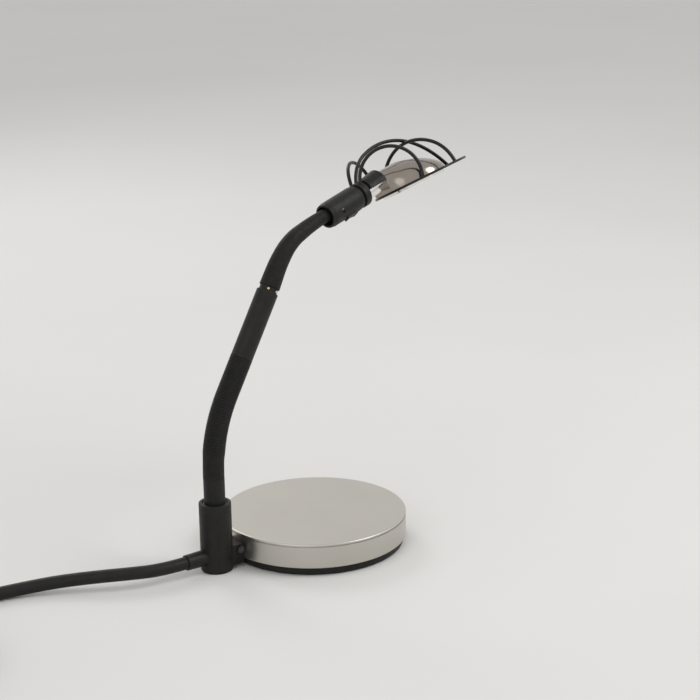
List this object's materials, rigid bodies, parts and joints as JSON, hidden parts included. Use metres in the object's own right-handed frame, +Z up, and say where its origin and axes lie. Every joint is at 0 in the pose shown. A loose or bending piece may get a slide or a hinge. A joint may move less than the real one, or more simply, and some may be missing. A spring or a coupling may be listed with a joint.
{
  "type": "gooseneck desk lamp",
  "caption": "Small halogen desk lamp: round weighted base, upright sleeve, bendable gooseneck, switch barrel and a small reflector on a round plate under a wire guard.",
  "frame": {"origin": "centre of the round base's underside, on the table", "axes": "+Z up, +X from the upright sleeve to the middle of the base, +Y to the left of that"},
  "size_m": [0.541, 0.1265, 0.2494],
  "materials": {
    "satin_metal": "satin brushed, champagne tint",
    "black_plastic": "fine moulded texture",
    "black_rubber": "matt",
    "black_paint": "satin black paint",
    "cast_iron": "rough cast",
    "steel": "zinc plated",
    "chrome": "polished",
    "brass": "bright",
    "white_plastic": "smooth",
    "ceramic": "unglazed white ceramic",
    "lens_glass": "clear"
  },
  "bodies": {
    "base": {"foot_mat": "black_rubber", "foot_cover": "black_plastic", "base_wall": "satin_metal", "base_lid": "satin_metal", "ballast": "cast_iron", "base_screws": "steel", "transformer_case": "black_plastic", "terminal_block": "white_plastic", "bracket_arm": "black_paint", "bracket_screws": "chrome", "sleeve": "black_plastic", "sleeve_foot": "black_rubber", "stem_bush": "white_plastic", "strain_relief": "black_rubber", "mains_cord": "black_rubber", "cord_coil": "black_rubber", "plug": "black_rubber", "plug_pins": "brass"},
    "stem": {"gooseneck_socket": "black_paint", "stem_clip": "steel"},
    "hose_1": {"hose_segment_1": "black_rubber"},
    "hose_2": {"hose_segment_2": "black_rubber"},
    "hose_3": {"hose_segment_3": "black_rubber"},
    "hose_4": {"hose_segment_4": "black_rubber"},
    "hose_5": {"hose_segment_5": "black_rubber"},
    "hose_6": {"hose_segment_6": "black_rubber"},
    "hose_7": {"hose_segment_7": "black_rubber"},
    "middle": {"hose_segment_8": "black_rubber", "middle_sleeve": "black_rubber", "swivel_collar": "brass"},
    "boot": {"boot_root": "black_rubber"},
    "boot_1": {"boot_segment_1": "black_rubber"},
    "boot_2": {"boot_segment_2": "black_rubber"},
    "boot_3": {"boot_segment_3": "black_rubber"},
    "barrel": {"boot_tip": "black_rubber", "barrel_upper": "black_plastic", "barrel_lower": "black_plastic", "barrel_screws": "steel", "switch_body": "white_plastic", "switch_pin": "steel"},
    "rocker": {"switch_rocker": "black_plastic"},
    "head": {"neck_tube": "chrome", "reflector_shell": "chrome", "guard_plate": "black_paint", "lens_glass": "lens_glass", "lens_ring": "chrome", "lamp_holder": "ceramic", "halogen_capsule": "lens_glass", "guard_collar": "black_paint", "guard_cowl": "black_paint", "guard_spine_wire": "black_paint", "guard_cross_hoop": "black_paint", "guard_side_hoop_near": "black_paint", "guard_side_hoop_far": "black_paint"}
  },
  "joints": [
    {"name": "stem_swivel", "type": "hinge", "parent": "base", "child": "stem", "pos_m": [-0.0756, 0, 0.0455], "axis": [0, 0, 1], "range_deg": [-150, 150]},
    {"name": "neck_bend_1", "type": "hinge", "parent": "stem", "child": "hose_1", "pos_m": [-0.0756, 0, 0.066], "axis": [-0.1908, 0.9816, 0], "range_deg": [-10, 10]},
    {"name": "neck_sway_1", "type": "hinge", "parent": "hose_1", "child": "hose_2", "pos_m": [-0.07514, 0.00009, 0.07498], "axis": [-0.9762, -0.1898, 0.1049], "range_deg": [-10, 10]},
    {"name": "neck_bend_2", "type": "hinge", "parent": "hose_2", "child": "hose_3", "pos_m": [-0.07375, 0.00036, 0.08387], "axis": [-0.1908, 0.9816, 0], "range_deg": [-10, 10]},
    {"name": "neck_sway_2", "type": "hinge", "parent": "hose_3", "child": "hose_4", "pos_m": [-0.07146, 0.00081, 0.09255], "axis": [-0.9332, -0.1814, 0.3102], "range_deg": [-10, 10]},
    {"name": "neck_bend_3", "type": "hinge", "parent": "hose_4", "child": "hose_5", "pos_m": [-0.06828, 0.00142, 0.10095], "axis": [-0.1908, 0.9816, 0], "range_deg": [-10, 10]},
    {"name": "neck_sway_3", "type": "hinge", "parent": "hose_5", "child": "hose_6", "pos_m": [-0.06425, 0.0022, 0.10896], "axis": [-0.8491, -0.165, 0.5018], "range_deg": [-10, 10]},
    {"name": "neck_bend_4", "type": "hinge", "parent": "hose_6", "child": "hose_7", "pos_m": [-0.05953, 0.00313, 0.11656], "axis": [-0.1908, 0.9816, 0], "range_deg": [-10, 10]},
    {"name": "neck_sway_4", "type": "hinge", "parent": "hose_7", "child": "middle", "pos_m": [-0.0547, 0.00406, 0.1241], "axis": [-0.8223, -0.1598, 0.5461], "range_deg": [-10, 10]},
    {"name": "collar_swivel", "type": "hinge", "parent": "middle", "child": "boot", "pos_m": [-0.02291, 0.01024, 0.17377], "axis": [0.5361, 0.1042, 0.8377], "range_deg": [-150, 150]},
    {"name": "boot_bend_1", "type": "hinge", "parent": "boot", "child": "boot_1", "pos_m": [-0.01256, 0.01225, 0.18982], "axis": [-0.1908, 0.9816, 0], "range_deg": [-10, 10]},
    {"name": "boot_sway_1", "type": "hinge", "parent": "boot_1", "child": "boot_2", "pos_m": [-0.0069, 0.01335, 0.19604], "axis": [-0.6424, -0.1249, 0.7561], "range_deg": [-10, 10]},
    {"name": "boot_bend_2", "type": "hinge", "parent": "boot_2", "child": "boot_3", "pos_m": [-0.00005, 0.01469, 0.20085], "axis": [-0.1908, 0.9816, 0], "range_deg": [-10, 10]},
    {"name": "boot_sway_2", "type": "hinge", "parent": "boot_3", "child": "barrel", "pos_m": [0.00767, 0.01619, 0.20404], "axis": [-0.2669, -0.0519, 0.9623], "range_deg": [-10, 10]},
    {"name": "head_roll", "type": "hinge", "parent": "barrel", "child": "head", "pos_m": [0.05735, 0.02584, 0.21686], "axis": [0.9516, 0.185, 0.2453], "range_deg": [-120, 120]},
    {"name": "switch_rock", "type": "hinge", "parent": "barrel", "child": "rocker", "pos_m": [0.0468, 0.01909, 0.20862], "axis": [0.0193, 0.7608, -0.6487], "range_deg": [0, 12]}
  ],
  "couplings": [
    {"joint": "neck_bend_2", "follows": "neck_bend_1", "ratio": 1},
    {"joint": "neck_sway_2", "follows": "neck_sway_1", "ratio": 1},
    {"joint": "neck_bend_3", "follows": "neck_bend_1", "ratio": 1},
    {"joint": "neck_sway_3", "follows": "neck_sway_1", "ratio": 1},
    {"joint": "neck_bend_4", "follows": "neck_bend_1", "ratio": 1},
    {"joint": "neck_sway_4", "follows": "neck_sway_1", "ratio": 1},
    {"joint": "boot_bend_2", "follows": "boot_bend_1", "ratio": 1},
    {"joint": "boot_sway_2", "follows": "boot_sway_1", "ratio": 1}
  ]
}
